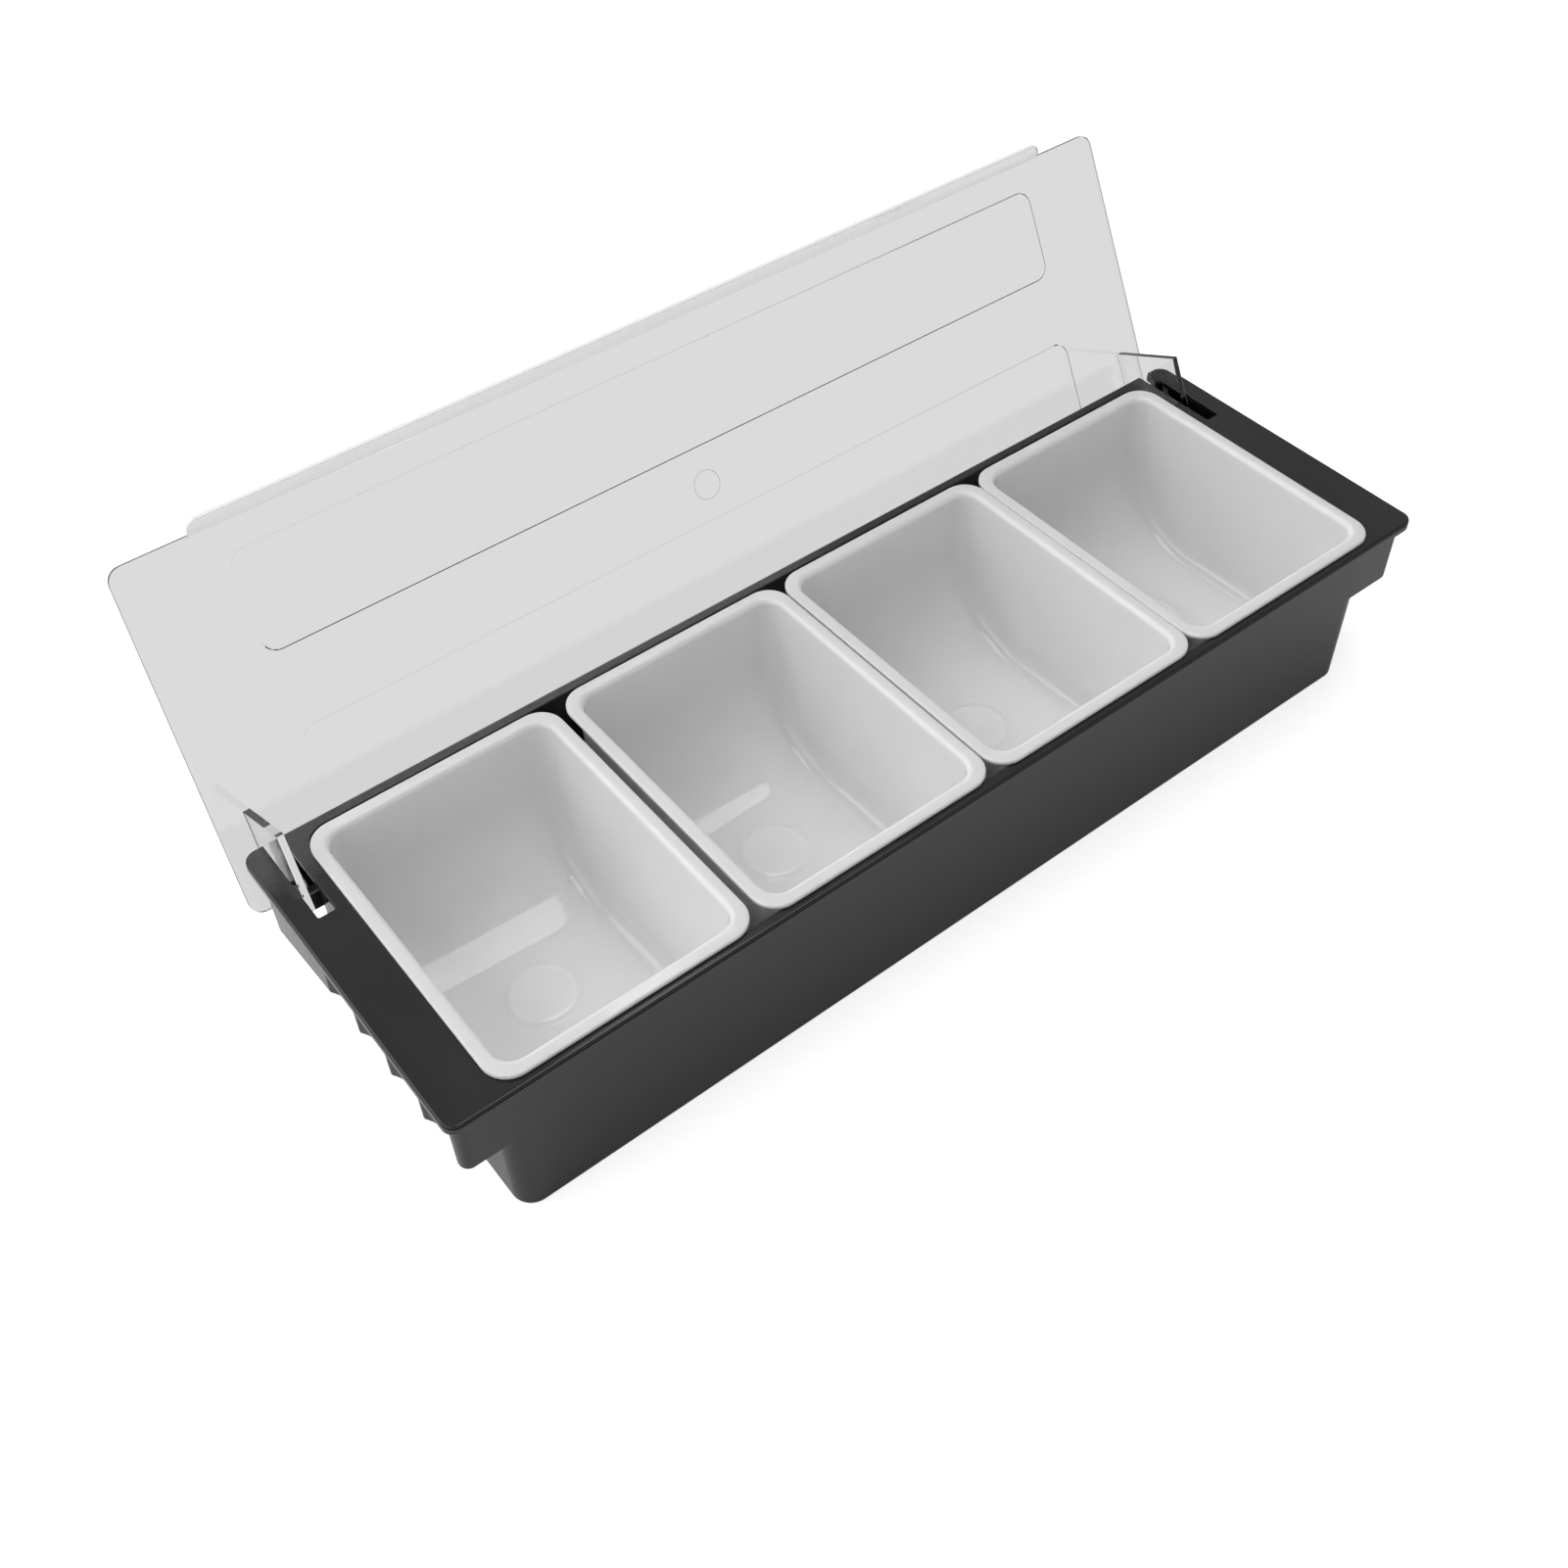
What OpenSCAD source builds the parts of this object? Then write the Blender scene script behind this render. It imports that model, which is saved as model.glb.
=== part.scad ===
// Condiment caddy: a long tray with four lift-out inserts under one clear flip lid.
// Millimetres, +Z up, +X along the row of inserts, +Y towards the hinge.
// The origin is the centre of the tray's base. The lid is drawn at its open stop.

/* [Tray] */
// Length of the top flange
flange_l = 495; // [480:1:520]
// Width of the top flange
flange_w = 151; // [148:0.5:160]
// Height of the flange's top above the base
tray_h = 82; // [80:0.5:92]
// Height of the flange's outer edge
flange_edge = 5; // [3:0.1:6]
// Corner radius of the flange
flange_r = 5.5; // [4:0.5:10]
// Overhang of the flange past the long walls
side_lip = 2.5; // [2:0.1:3.5]
// Overhang of the flange past the end boxes
end_lip = 3; // [2:0.1:5]
// Length of the ledge from the body's end wall to the flange's end
ledge_l = 20.9; // [20.5:0.1:24]
// Thickness of the ledge plate
ledge_t = 2.2; // [1.8:0.1:3]
// Thickness of the tray's walls
wall_t = 2.2; // [1.8:0.1:3]
// Thickness of the tray's floor
floor_t = 2.5; // [2:0.1:4]
// Draft of the tray's outer and inner walls, in degrees
draft = 2.4; // [1:0.1:3]
// Radius of the body's upright corners, at the flange
body_r = 12; // [9:0.5:16]
// Radius of the edge round the base
base_r = 1; // [0.5:0.5:5]

/* [End boxes] */
// Depth of the end boxes below the flange's top, from the front to the shoulder
box_h = 33.5; // [28:0.5:36]
// Extra depth of the end boxes at the hinge side
box_drop = 8; // [6:0.5:14]
// Distance from the tray's middle to the shoulder where the boxes grow deeper
box_shoulder = 25; // [20:0.5:30]
// Radius of the end boxes' upright corners
box_r = 5.3; // [4.5:0.1:8]
// Number of finger flutes across each end
flute_n = 4; // [2:1:4]
// Spacing of the finger flutes
flute_pitch = 23; // [20:0.5:24]
// Depth of the finger flutes
flute_depth = 3.5; // [1:0.1:4]
// Width of the flat ridge between two finger flutes
flute_land = 1; // [0.5:0.1:3]

/* [Hinge] */
// Distance from the flange's rear edge to the hinge axis
pivot_back = 12; // [11:0.1:12.2]
// Depth of the hinge axis below the flange's top
pivot_drop = 15.3; // [15:0.1:17]
// Radius of the hinge studs
stud_r = 3; // [2:0.1:4]
// Radial clearance of the studs in their sockets
stud_fit = 0.08; // [0.03:0.01:0.1]
// Depth to which a stud enters its socket
stud_grip = 2.2; // [1.5:0.1:2.4]
// Depth of a socket past its stud's end
socket_end = 0.3; // [0.1:0.1:0.5]
// Wall of the socket bosses round the studs
boss_t = 3; // [2:0.1:3.4]
// Width of the hinge slots
slot_w = 7.3; // [6:0.1:7.6]
// Distance from the slots' outer side to the flange's end
slot_in = 9.2; // [9:0.1:10.5]
// Clearance of the ears' swing at the front end of the slots
swing_gap = 1.1; // [0.6:0.1:4]
// Clearance of the open lid's ears above the foot of the slots in the rear wall
stop_gap = 0.1; // [0.1:0.1:2]

/* [Lid] */
// Overhang of the lid past each end of the flange
lid_over = 1.2; // [0:0.1:3]
// Thickness of the lid
lid_t = 2.6; // [2:0.1:3.5]
// Gap under the closed lid, above the flange
lid_gap = 4.5; // [4.4:0.1:7]
// Overhang of the closed lid past the flange's rear edge
lid_back = 1.3; // [0:0.1:2]
// Distance from the closed lid's front edge back from the flange's front edge
lid_front = 3.3; // [0:0.1:6]
// Corner radius of the lid
lid_r = 6; // [3:0.5:12]
// Angle of the open lid above the horizontal
open_angle = 64.8; // [64:0.1:85]
// Length of the lid's tab along its front edge
tab_l = 431; // [300:1:460]
// Width of the tab
tab_w = 7; // [5:0.1:12]
// Downward slope of the tab, in degrees
tab_angle = 25; // [10:1:30]
// Corner radius of the tab
tab_r = 4; // [2:0.5:5]
// Thickness of the ears
ear_t = 3; // [2:0.1:4]
// Clearance from the ears' outer faces to the slots' outer sides
ear_gap = 1.2; // [0.6:0.1:2]
// Length of the ears ahead of the hinge axis
ear_front = 28.5; // [22:0.5:30]
// Length of the ears behind the hinge axis
ear_back = 4.8; // [4:0.1:5.4]
// Height of the ears below the hinge axis, with the lid closed
ear_drop = 18.2; // [12:0.1:19]
// Corner radius of the lid's sunk panels
panel_r = 7; // [3:0.5:12]
// Depth of the lid's sunk panels
panel_depth = 0.5; // [0.3:0.1:1]
// Length of the lid's sunk panels
panel_l = 411; // [300:1:440]
// Width of the front panel
panel_front_w = 43.2; // [30:0.1:50]
// Distance from the lid's front edge to the front panel
panel_front_in = 12.8; // [8:0.1:20]
// Width of the rear panel
panel_rear_w = 49; // [30:0.1:52]
// Distance from the lid's rear edge to the rear panel
panel_rear_in = 11.5; // [8:0.1:15]
// Radius of the round moulding mark between the panels
mark_r = 6.5; // [3:0.1:9]
// Height of the mark
mark_h = 0.4; // [0.2:0.1:0.8]
// Distance from the lid's middle to the mark, along the hinge
mark_aside = 2.5; // [0:0.5:20]
// Distance from the hinge axis to the mark
mark_ahead = 62.5; // [56:0.5:70]

/* [Inserts] */
// Overall height of an insert
insert_h = 73; // [60:0.5:78]
// Wall of an insert
insert_t = 2.5; // [1.5:0.1:3]
// Width of an insert's flat rim
rim_b = 6; // [5:0.1:8]
// Thickness of an insert's rim
rim_t = 2; // [1.5:0.1:3]
// Corner radius of an insert's rim
rim_r = 11; // [9:0.5:14]
// Clearance under the rims, above the flange
rim_lift = 0.3; // [0.2:0.1:1]
// Mean gap between neighbouring rims
rim_gap = 1.2; // [1:0.1:4]
// Distance from the row's end rims to the planes of the body's end walls
row_in = 1.8; // [1.5:0.1:4]
// Clearance of a rim's width inside the tray's opening, both sides together
rim_play = 0.6; // [0.6:0.1:4]
// How far the inserts lie towards the front of the tray
insert_push = 2; // [0:0.1:2.6]
// Draft of an insert's walls, in degrees
insert_draft = 3; // [1.5:0.1:4]
// Radius of the scoop from an insert's front and rear walls into its floor
scoop_r = 42; // [20:0.5:44]
// Radius of the fillet between an insert's floor and its side walls
fillet_r = 7; // [4:0.5:12]
// Radius of the raised disc on an insert's floor
disc_r = 15.8; // [8:0.1:18]
// Width of the disc's sloped edge
disc_slope = 3.5; // [1:0.1:5]
// Height of the disc
disc_h = 0.8; // [0.4:0.1:1.5]
// Thickness of the two rails that carry the inserts
rail_t = 2.5; // [2:0.1:5]
// Distance between the rails' middles
rail_gap = 34; // [20:1:36]

/* [Hidden] */
$fn = 96;
over = 1;
insert_n = 4;
// Each insert lies a little to one side of its even place in the row.
insert_shift = [-1.2, 1.2, 0.9, 0.1];
body_l = flange_l - 2 * ledge_l;
body_w = flange_w - 2 * side_lip;
box_l = flange_l - 2 * end_lip;
box_top = tray_h - ledge_t;
box_deep = box_h + box_drop;
open_l = body_l - 2 * wall_t;
open_w = body_w - 2 * wall_t;

// The hinge axis, and the slots in the ledges from it.
pivot_y = flange_w / 2 - pivot_back;
pivot_z = tray_h - pivot_drop;
slot_out = flange_l / 2 - slot_in;
ear_x = slot_out - ear_gap;
swing_r = norm([ear_front, ear_drop]);
slot_y = pivot_y - sqrt(swing_r * swing_r - pow(pivot_drop - ledge_t, 2)) - swing_gap;

// The lid opens until its ears' rear edges reach the foot of the slots in the rear wall.
swing = 180 - open_angle;
stop_y = body_w / 2 - pivot_y;
stop_z = pivot_z + (stop_y * cos(swing) - ear_back) / sin(swing) - stop_gap;

// The closed lid, measured from the hinge axis.
lid_l = flange_l + 2 * lid_over;
lid_top = pivot_drop + lid_gap + lid_t;
lid_ahead = flange_w - pivot_back - lid_front;
lid_behind = pivot_back + lid_back;

// The inserts.
rim_l = (body_l - 2 * row_in - (insert_n - 1) * rim_gap) / insert_n;
rim_w = open_w - rim_play;
rim_over = rim_b - insert_t;
insert_y = -insert_push;
insert_top = tray_h + rim_lift + rim_t;
insert_z = insert_top - insert_h;
rail_h = insert_z - floor_t;
disc_top_r = disc_r - disc_slope;

// Sections are kept to a thousandth of a millimetre, so that a wall and its round corners meet exactly.
function fine(v) = round(v * 1000) / 1000;
// How far a drafted wall leans in over a height.
function lean(h, slope) = fine(h * tan(slope));
// Number of facets round a foot: more on a wide scoop than on a small fillet.
function foot_steps(f) = ceil(f / 3) + 3;
// Half of a drafted wall's section, from the base up: a rounded foot, then the sloped wall.
function foot(h, slope, f) = h * tan(slope) - f * (1 - sin(slope)) * tan(slope) + f * cos(slope);
function half_section(hw, h, slope, f) = f == 0
    ? [[hw - lean(h, slope), 0], [hw, h]]
    : let (n = foot_steps(f)) concat([for (i = [0 : n]) let (a = -90 + (90 - slope) * i / n)
        [hw - fine(foot(h, slope, f) - f * cos(a)), fine(f + f * sin(a))]], [[hw, h]]);
function section(hw, h, slope, f) = let (s = half_section(hw, h, slope, f))
    concat(s, [for (i = [len(s) - 1 : -1 : 0]) [-s[i][0], s[i][1]]]);

// A section in the YZ plane, drawn out along X.
module along_x(length) {
    rotate([90, 0, 90])
        linear_extrude(length, center = true)
            children();
}

// A section in the XZ plane, drawn out along Y.
module along_y(length) {
    rotate([90, 0, 0])
        linear_extrude(length, center = true)
            children();
}

// Repeats its children at the four corners of a rectangle.
module at_corners(l, w) {
    for (x = [-l / 2, l / 2], y = [-w / 2, w / 2])
        translate([x, y, 0])
            children();
}

// Its children at the right end, and their mirror image at the left end.
module both_ends() {
    children();
    mirror([1, 0, 0])
        children();
}

// A block with round upright corners and drafted sides, l by w at its top.
module drafted_block(l, w, r, h, slope, f = 0) {
    along_x(l - 2 * r)
        polygon(section(w / 2, h, slope, f));
    along_y(w - 2 * r)
        polygon(section(l / 2, h, slope, f));
    at_corners(l - 2 * r, w - 2 * r)
        rotate_extrude()
            polygon(concat([[0, 0]], half_section(r, h, slope, f), [[0, h]]));
}

// A drafted block with a wide scoop at its front and rear, and a small fillet at its sides.
module scooped_block(l, w, r, h, slope, scoop, fillet) {
    intersection() {
        drafted_block(l, w, r, h, slope);
        along_x(l + over)
            polygon(section(w / 2, h, slope, scoop));
        along_y(w + over)
            polygon(section(l / 2, h, slope, fillet));
    }
}

// A flat plate with round corners.
module plate(l, w, r, t) {
    translate([-l / 2 + r, -w / 2, 0])
        cube([l - 2 * r, w, t]);
    translate([-l / 2, -w / 2 + r, 0])
        cube([l, w - 2 * r, t]);
    at_corners(l - 2 * r, w - 2 * r)
        cylinder(h = t, r = r);
}

// The finger flutes of the right end, leaning with the drafted wall.
module flutes(grow) {
    half_w = (flute_pitch - flute_land) / 2;
    flute_r = (half_w * half_w + flute_depth * flute_depth) / (2 * flute_depth);
    for (i = [0 : flute_n - 1])
        translate([box_l / 2, box_shoulder - (i + 0.5) * flute_pitch, tray_h])
            rotate([0, draft, 0])
                translate([flute_r - flute_depth, 0, -box_deep])
                    cylinder(h = box_deep + over, r = flute_r + grow);
}

// The outline of the end boxes seen from the end: level, then deeper towards the hinge.
module box_outline() {
    polygon([
        [-body_w / 2 - over, tray_h + over],
        [-body_w / 2 - over, tray_h - box_h],
        [box_shoulder, tray_h - box_h],
        [body_w / 2, tray_h - box_deep],
        [body_w / 2 + over, tray_h - box_deep],
        [body_w / 2 + over, tray_h + over]
    ]);
}

// Both end boxes, solid.
module box_blocks() {
    difference() {
        intersection() {
            drafted_block(box_l, body_w, box_r, tray_h, draft);
            along_x(box_l + over)
                box_outline();
        }
        both_ends()
            flutes(0);
    }
}

// The body, solid.
module body_block() {
    drafted_block(body_l, body_w, body_r, tray_h, draft, base_r);
}

// The hollows of the end boxes, open underneath.
module box_hollows() {
    difference() {
        translate([0, 0, box_top - box_deep])
            drafted_block(box_l - 2 * wall_t, body_w - 2 * wall_t, box_r - wall_t, box_deep, draft);
        body_block();
        both_ends()
            flutes(wall_t);
    }
}

// The hinge slot of the right end: through the ledge, and down through the rear wall.
module hinge_slot() {
    translate([slot_out - slot_w, slot_y, box_top - over])
        cube([slot_w, flange_w, ledge_t + 2 * over]);
    translate([slot_out - slot_w, pivot_y + ear_back, stop_z])
        cube([slot_w, flange_w, tray_h - stop_z + over]);
}

// A round bar along X on the hinge axis of the right end, from x0 to x1.
module hinge_bar(x0, x1, r) {
    translate([x0, pivot_y, pivot_z])
        rotate([0, 90, 0])
            cylinder(h = x1 - x0, r = r);
}

// The two bosses of the right end, on both sides of the slot.
module hinge_bosses() {
    boss_r = stud_r + stud_fit + boss_t;
    hinge_bar((body_l - wall_t) / 2, slot_out - slot_w, boss_r);
    hinge_bar(slot_out, (box_l - wall_t) / 2, boss_r);
}

// The two blind sockets of the right end, in one cut across the slot.
module hinge_sockets() {
    reach = stud_grip + socket_end;
    hinge_bar(slot_out - slot_w - reach, slot_out + reach, stud_r + stud_fit);
}

// The two rails on the floor that the inserts stand on.
module rails() {
    for (y = [-rail_gap / 2, rail_gap / 2])
        translate([-open_l / 2, y - rail_t / 2, floor_t / 2])
            cube([open_l, rail_t, rail_h + floor_t / 2]);
}

// The tray's walls, floor and flange, with their hollows and slots cut.
module tray_shell() {
    up = lean(over, draft);
    difference() {
        union() {
            body_block();
            box_blocks();
            translate([0, 0, tray_h - flange_edge])
                plate(flange_l, flange_w, flange_r, flange_edge);
        }
        difference() {
            translate([0, 0, floor_t])
                drafted_block(open_l + 2 * up, open_w + 2 * up, body_r - wall_t + up,
                    tray_h - floor_t + over, draft, base_r);
            rails();
        }
        box_hollows();
        both_ends()
            hinge_slot();
    }
}

module tray() {
    color([0.08, 0.08, 0.085])
        difference() {
            union() {
                tray_shell();
                both_ends()
                    hinge_bosses();
            }
            both_ends()
                hinge_sockets();
        }
}

// One ear of the closed lid at the right end, with its two studs.
module ear() {
    translate([ear_x - ear_t, -ear_front, -ear_drop])
        cube([ear_t, ear_front + ear_back, ear_drop + lid_top - lid_t / 2]);
    translate([slot_out - slot_w - stud_grip, 0, 0])
        rotate([0, 90, 0])
            cylinder(h = slot_w + 2 * stud_grip, r = stud_r);
}

// The tab along the lid's front edge, with round corners.
module tab() {
    translate([0, -lid_ahead, lid_top])
        rotate([tab_angle, 0, 0])
            translate([0, 0, -lid_t]) {
                translate([-tab_l / 2, -tab_w + tab_r, 0])
                    cube([tab_l, tab_w - tab_r, lid_t]);
                translate([-tab_l / 2 + tab_r, -tab_w, 0])
                    cube([tab_l - 2 * tab_r, tab_w, lid_t]);
                for (x = [-tab_l / 2 + tab_r, tab_l / 2 - tab_r])
                    translate([x, -tab_w + tab_r, 0])
                        cylinder(h = lid_t, r = tab_r);
            }
}

// The lid as it lies closed, with the hinge axis at its origin.
module closed_lid() {
    lid_w = lid_ahead + lid_behind;
    difference() {
        translate([0, (lid_behind - lid_ahead) / 2, lid_top - lid_t])
            plate(lid_l, lid_w, lid_r, lid_t);
        translate([0, -lid_ahead + panel_front_in + panel_front_w / 2, lid_top - panel_depth])
            plate(panel_l, panel_front_w, panel_r, panel_depth + over);
        translate([0, lid_behind - panel_rear_in - panel_rear_w / 2, lid_top - panel_depth])
            plate(panel_l, panel_rear_w, panel_r, panel_depth + over);
    }
    translate([-mark_aside, -mark_ahead, lid_top - lid_t / 2])
        cylinder(h = lid_t / 2 + mark_h, r = mark_r);
    tab();
    both_ends()
        ear();
}

module lid() {
    color([0.86, 0.87, 0.88, 0.4])
        translate([0, pivot_y, pivot_z])
            rotate([-swing, 0, 0])
                closed_lid();
}

// One lift-out insert: a scooped box with a flat rim and a raised disc on its floor.
module insert(index) {
    well_l = rim_l - 2 * rim_b;
    well_w = rim_w - 2 * rim_b;
    well_r = rim_r - rim_over + insert_t / 2;
    up = lean(over, insert_draft);
    even_x = (index - (insert_n - 1) / 2) * (rim_l + rim_gap);
    color([0.93, 0.93, 0.92])
        translate([even_x + insert_shift[index], insert_y, insert_z]) {
            difference() {
                union() {
                    scooped_block(well_l + 2 * insert_t, well_w + 2 * insert_t, well_r + insert_t,
                        insert_h, insert_draft, scoop_r + insert_t, fillet_r + insert_t);
                    translate([0, 0, insert_h - rim_t])
                        plate(rim_l, rim_w, rim_r, rim_t);
                }
                translate([0, 0, insert_t])
                    scooped_block(well_l + 2 * up, well_w + 2 * up, well_r + up,
                        insert_h - insert_t + over, insert_draft, scoop_r, fillet_r);
            }
            translate([0, 0, insert_t / 2])
                cylinder(h = insert_t / 2, r = disc_r);
            translate([0, 0, insert_t])
                cylinder(h = disc_h, r1 = disc_r, r2 = disc_top_r);
        }
}

module insert_1() { insert(0); }
module insert_2() { insert(1); }
module insert_3() { insert(2); }
module insert_4() { insert(3); }

tray();
lid();
insert_1();
insert_2();
insert_3();
insert_4();
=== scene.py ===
"""Condiment caddy: the dressed model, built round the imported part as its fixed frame."""

import math

import bmesh
import bpy
from mathutils import Matrix, Vector


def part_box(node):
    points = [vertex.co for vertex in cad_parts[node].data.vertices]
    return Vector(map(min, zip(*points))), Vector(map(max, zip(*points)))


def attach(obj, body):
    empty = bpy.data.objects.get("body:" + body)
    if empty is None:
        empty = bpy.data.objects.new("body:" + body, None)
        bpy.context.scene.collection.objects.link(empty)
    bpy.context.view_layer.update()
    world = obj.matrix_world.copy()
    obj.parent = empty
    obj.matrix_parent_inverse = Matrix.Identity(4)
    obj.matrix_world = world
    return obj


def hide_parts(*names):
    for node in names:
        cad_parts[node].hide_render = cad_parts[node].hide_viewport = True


bl_info = {
    "name": "Condiment Caddy",
    "version": (1, 0, 0),
    "blender": (4, 5, 0),
    "location": "3D View > Sidebar > Caddy",
    "description": "Builds a condiment caddy: a dark tray, four lift-out inserts and one clear flip lid",
    "category": "Add Mesh",
}

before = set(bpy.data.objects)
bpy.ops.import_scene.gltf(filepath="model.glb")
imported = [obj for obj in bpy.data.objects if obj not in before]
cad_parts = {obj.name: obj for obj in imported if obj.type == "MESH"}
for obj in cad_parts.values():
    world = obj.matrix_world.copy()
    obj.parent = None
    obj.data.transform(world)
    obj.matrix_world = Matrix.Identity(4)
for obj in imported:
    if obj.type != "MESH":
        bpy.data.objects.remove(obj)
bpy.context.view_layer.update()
TRAY_LOW, TRAY_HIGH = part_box("tray")
LID_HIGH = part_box("lid")[1]
INSERTS = ("insert_1", "insert_2", "insert_3", "insert_4")
OVER = 0.001  # how far a cutter stands past what it cuts
HAIR = 0.00005  # keeps two faces apart that would otherwise lie in one plane
MERGE = 1e-6  # vertices closer than this are one
SMOOTH_BELOW = math.radians(32)
SHARP_ABOVE = math.radians(40)


# ---------------------------------------------------------------- sizes and colours


def length(name, default, description):
    return bpy.props.FloatProperty(
        name=name, description=description, default=default, min=0.0, unit="LENGTH", precision=5
    )


def angle(name, degrees, description):
    return bpy.props.FloatProperty(
        name=name, description=description, default=math.radians(degrees), unit="ROTATION"
    )


def colour(name, default, description):
    return bpy.props.FloatVectorProperty(
        name=name, description=description, default=default, size=3, min=0.0, max=1.0, subtype="COLOR"
    )


def share(name, default, description):
    return bpy.props.FloatProperty(
        name=name, description=description, default=default, min=0.0, max=1.0, subtype="FACTOR"
    )


def number(name, default, description):
    return bpy.props.FloatProperty(name=name, description=description, default=default)


class TraySizes(bpy.types.PropertyGroup):
    flange_l: length("Flange length", TRAY_HIGH.x - TRAY_LOW.x, "Length of the top flange")
    flange_w: length("Flange width", TRAY_HIGH.y - TRAY_LOW.y, "Width of the top flange")
    tray_h: length("Height", TRAY_HIGH.z, "Height of the flange's top above the base")
    flange_edge: length("Flange edge", 0.005, "Height of the flange's outer edge")
    flange_r: length("Flange corner", 0.0055, "Corner radius of the flange")
    arris: length("Arris", 0.0008, "Rounding of the flange's edges")
    line_h: length("Line height", 0.0007, "Height of the fine groove round the flange's edge")
    line_d: length("Line depth", 0.0008, "Depth of the fine groove round the flange's edge")
    side_lip: length("Side lip", 0.0025, "Overhang of the flange past the long walls")
    end_lip: length("End lip", 0.003, "Overhang of the flange past the end boxes")
    ledge_l: length("Ledge length", 0.0209, "From the body's end wall to the flange's end")
    ledge_t: length("Ledge thickness", 0.0022, "Thickness of the ledge plate")
    wall_t: length("Wall", 0.0022, "Thickness of the walls")
    floor_t: length("Floor", 0.0025, "Thickness of the floor")
    draft: angle("Draft", 2.4, "Draft of the walls")
    body_r: length("Body corner", 0.012, "Radius of the body's upright corners")
    base_r: length("Base edge", 0.001, "Radius of the edge round the base")
    box_h: length("Box height", 0.0335, "Depth of the end boxes below the flange's top")
    box_drop: length("Box drop", 0.008, "Extra depth of the end boxes at the hinge side")
    box_shoulder: length("Box shoulder", 0.025, "Where the end boxes grow deeper")
    box_r: length("Box corner", 0.0053, "Radius of the end boxes' upright corners")
    box_arris: length("Box arris", 0.0005, "Rounding of the end boxes' lower edges")
    flute_n: bpy.props.IntProperty(
        name="Flutes", description="Finger flutes across each end", default=4, min=0
    )
    flute_pitch: length("Flute pitch", 0.023, "Spacing of the finger flutes")
    flute_depth: length("Flute depth", 0.0035, "Depth of the finger flutes")
    flute_land: length("Flute land", 0.001, "Width of the ridge between two finger flutes")
    rail_t: length("Rail thickness", 0.0025, "Thickness of the rails on the floor")
    rail_gap: length("Rail gap", 0.034, "Distance between the rails' middles")
    rail_top: length("Rail top", 0.0113, "Height of the rails above the base")


class HingeSizes(bpy.types.PropertyGroup):
    pivot_back: length("Pivot back", 0.012, "From the flange's rear edge to the hinge axis")
    pivot_drop: length("Pivot drop", 0.0153, "Depth of the hinge axis below the flange's top")
    stud_r: length("Stud radius", 0.003, "Radius of the hinge studs")
    stud_fit: length("Stud fit", 0.00008, "Radial clearance of the studs")
    stud_grip: length("Stud grip", 0.0022, "Depth to which a stud enters its socket")
    socket_end: length("Socket end", 0.0003, "Depth of a socket past its stud's end")
    boss_t: length("Boss wall", 0.003, "Wall of the socket bosses")
    slot_w: length("Slot width", 0.0073, "Width of the hinge slots")
    slot_in: length("Slot inset", 0.0092, "From the slots' outer side to the flange's end")
    slot_front: length("Slot front", 0.0312, "From the tray's middle to the front end of the slots")
    slot_foot: length("Slot foot", 0.0568, "Height of the slots' foot in the rear wall")
    slot_r: length("Slot corner", 0.0008, "Corner radius of the slots")
    slot_arris: length("Slot arris", 0.0004, "Rounding of the slots' mouths")
    slot_back: length("Slot back", 0.0048, "From the hinge axis back to the slots' cut in the rear wall")
    ear_gap: length("Ear gap", 0.0012, "From the ears' outer faces to the slots' outer sides")
    swing: angle("Swing", 115.2, "Turn of the lid from closed to its open stop")


class LidSizes(bpy.types.PropertyGroup):
    lid_over: length("Lid overhang", 0.0012, "Overhang of the lid past each end of the flange")
    lid_t: length("Lid thickness", 0.0026, "Thickness of the lid")
    lid_gap: length("Lid gap", 0.0045, "Gap under the closed lid")
    lid_back: length("Lid back", 0.0013, "Overhang of the closed lid past the flange's rear edge")
    lid_front: length("Lid front", 0.0033, "From the flange's front edge to the closed lid's front edge")
    lid_r: length("Lid corner", 0.006, "Corner radius of the lid")
    lid_arris: length("Lid arris", 0.0004, "Rounding of the lid's edges")
    tab_l: length("Tab length", 0.431, "Length of the tab along the front edge")
    tab_w: length("Tab width", 0.007, "Width of the tab")
    tab_angle: angle("Tab angle", 25.0, "Downward slope of the tab")
    tab_r: length("Tab corner", 0.004, "Corner radius of the tab")
    tab_arris: length("Tab arris", 0.0003, "Chamfer along the tab's edges")
    tab_root: length("Tab root", 0.0012, "How far the tab runs into the lid's plate")
    ear_t: length("Ear thickness", 0.003, "Thickness of the ears")
    ear_front: length("Ear front", 0.0285, "Length of the ears ahead of the hinge axis")
    ear_back: length("Ear back", 0.0048, "Length of the ears behind the hinge axis")
    ear_drop: length("Ear drop", 0.0182, "Height of the ears below the hinge axis")
    ear_arris: length("Ear arris", 0.0003, "Rounding of the ears' edges")
    panel_r: length("Panel corner", 0.007, "Corner radius of the sunk panels")
    panel_depth: length("Panel depth", 0.0005, "Depth of the sunk panels")
    panel_l: length("Panel length", 0.411, "Length of the sunk panels")
    panel_front_w: length("Front panel width", 0.0432, "Width of the front panel")
    panel_front_in: length("Front panel inset", 0.0128, "From the lid's front edge to the front panel")
    panel_rear_w: length("Rear panel width", 0.049, "Width of the rear panel")
    panel_rear_in: length("Rear panel inset", 0.0115, "From the lid's rear edge to the rear panel")
    mark_r: length("Mark radius", 0.0065, "Radius of the round moulding mark")
    mark_h: length("Mark height", 0.0004, "Height of the mark")
    mark_aside: length("Mark aside", 0.0025, "From the lid's middle to the mark")
    mark_ahead: length("Mark ahead", 0.0625, "From the hinge axis to the mark")


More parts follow.
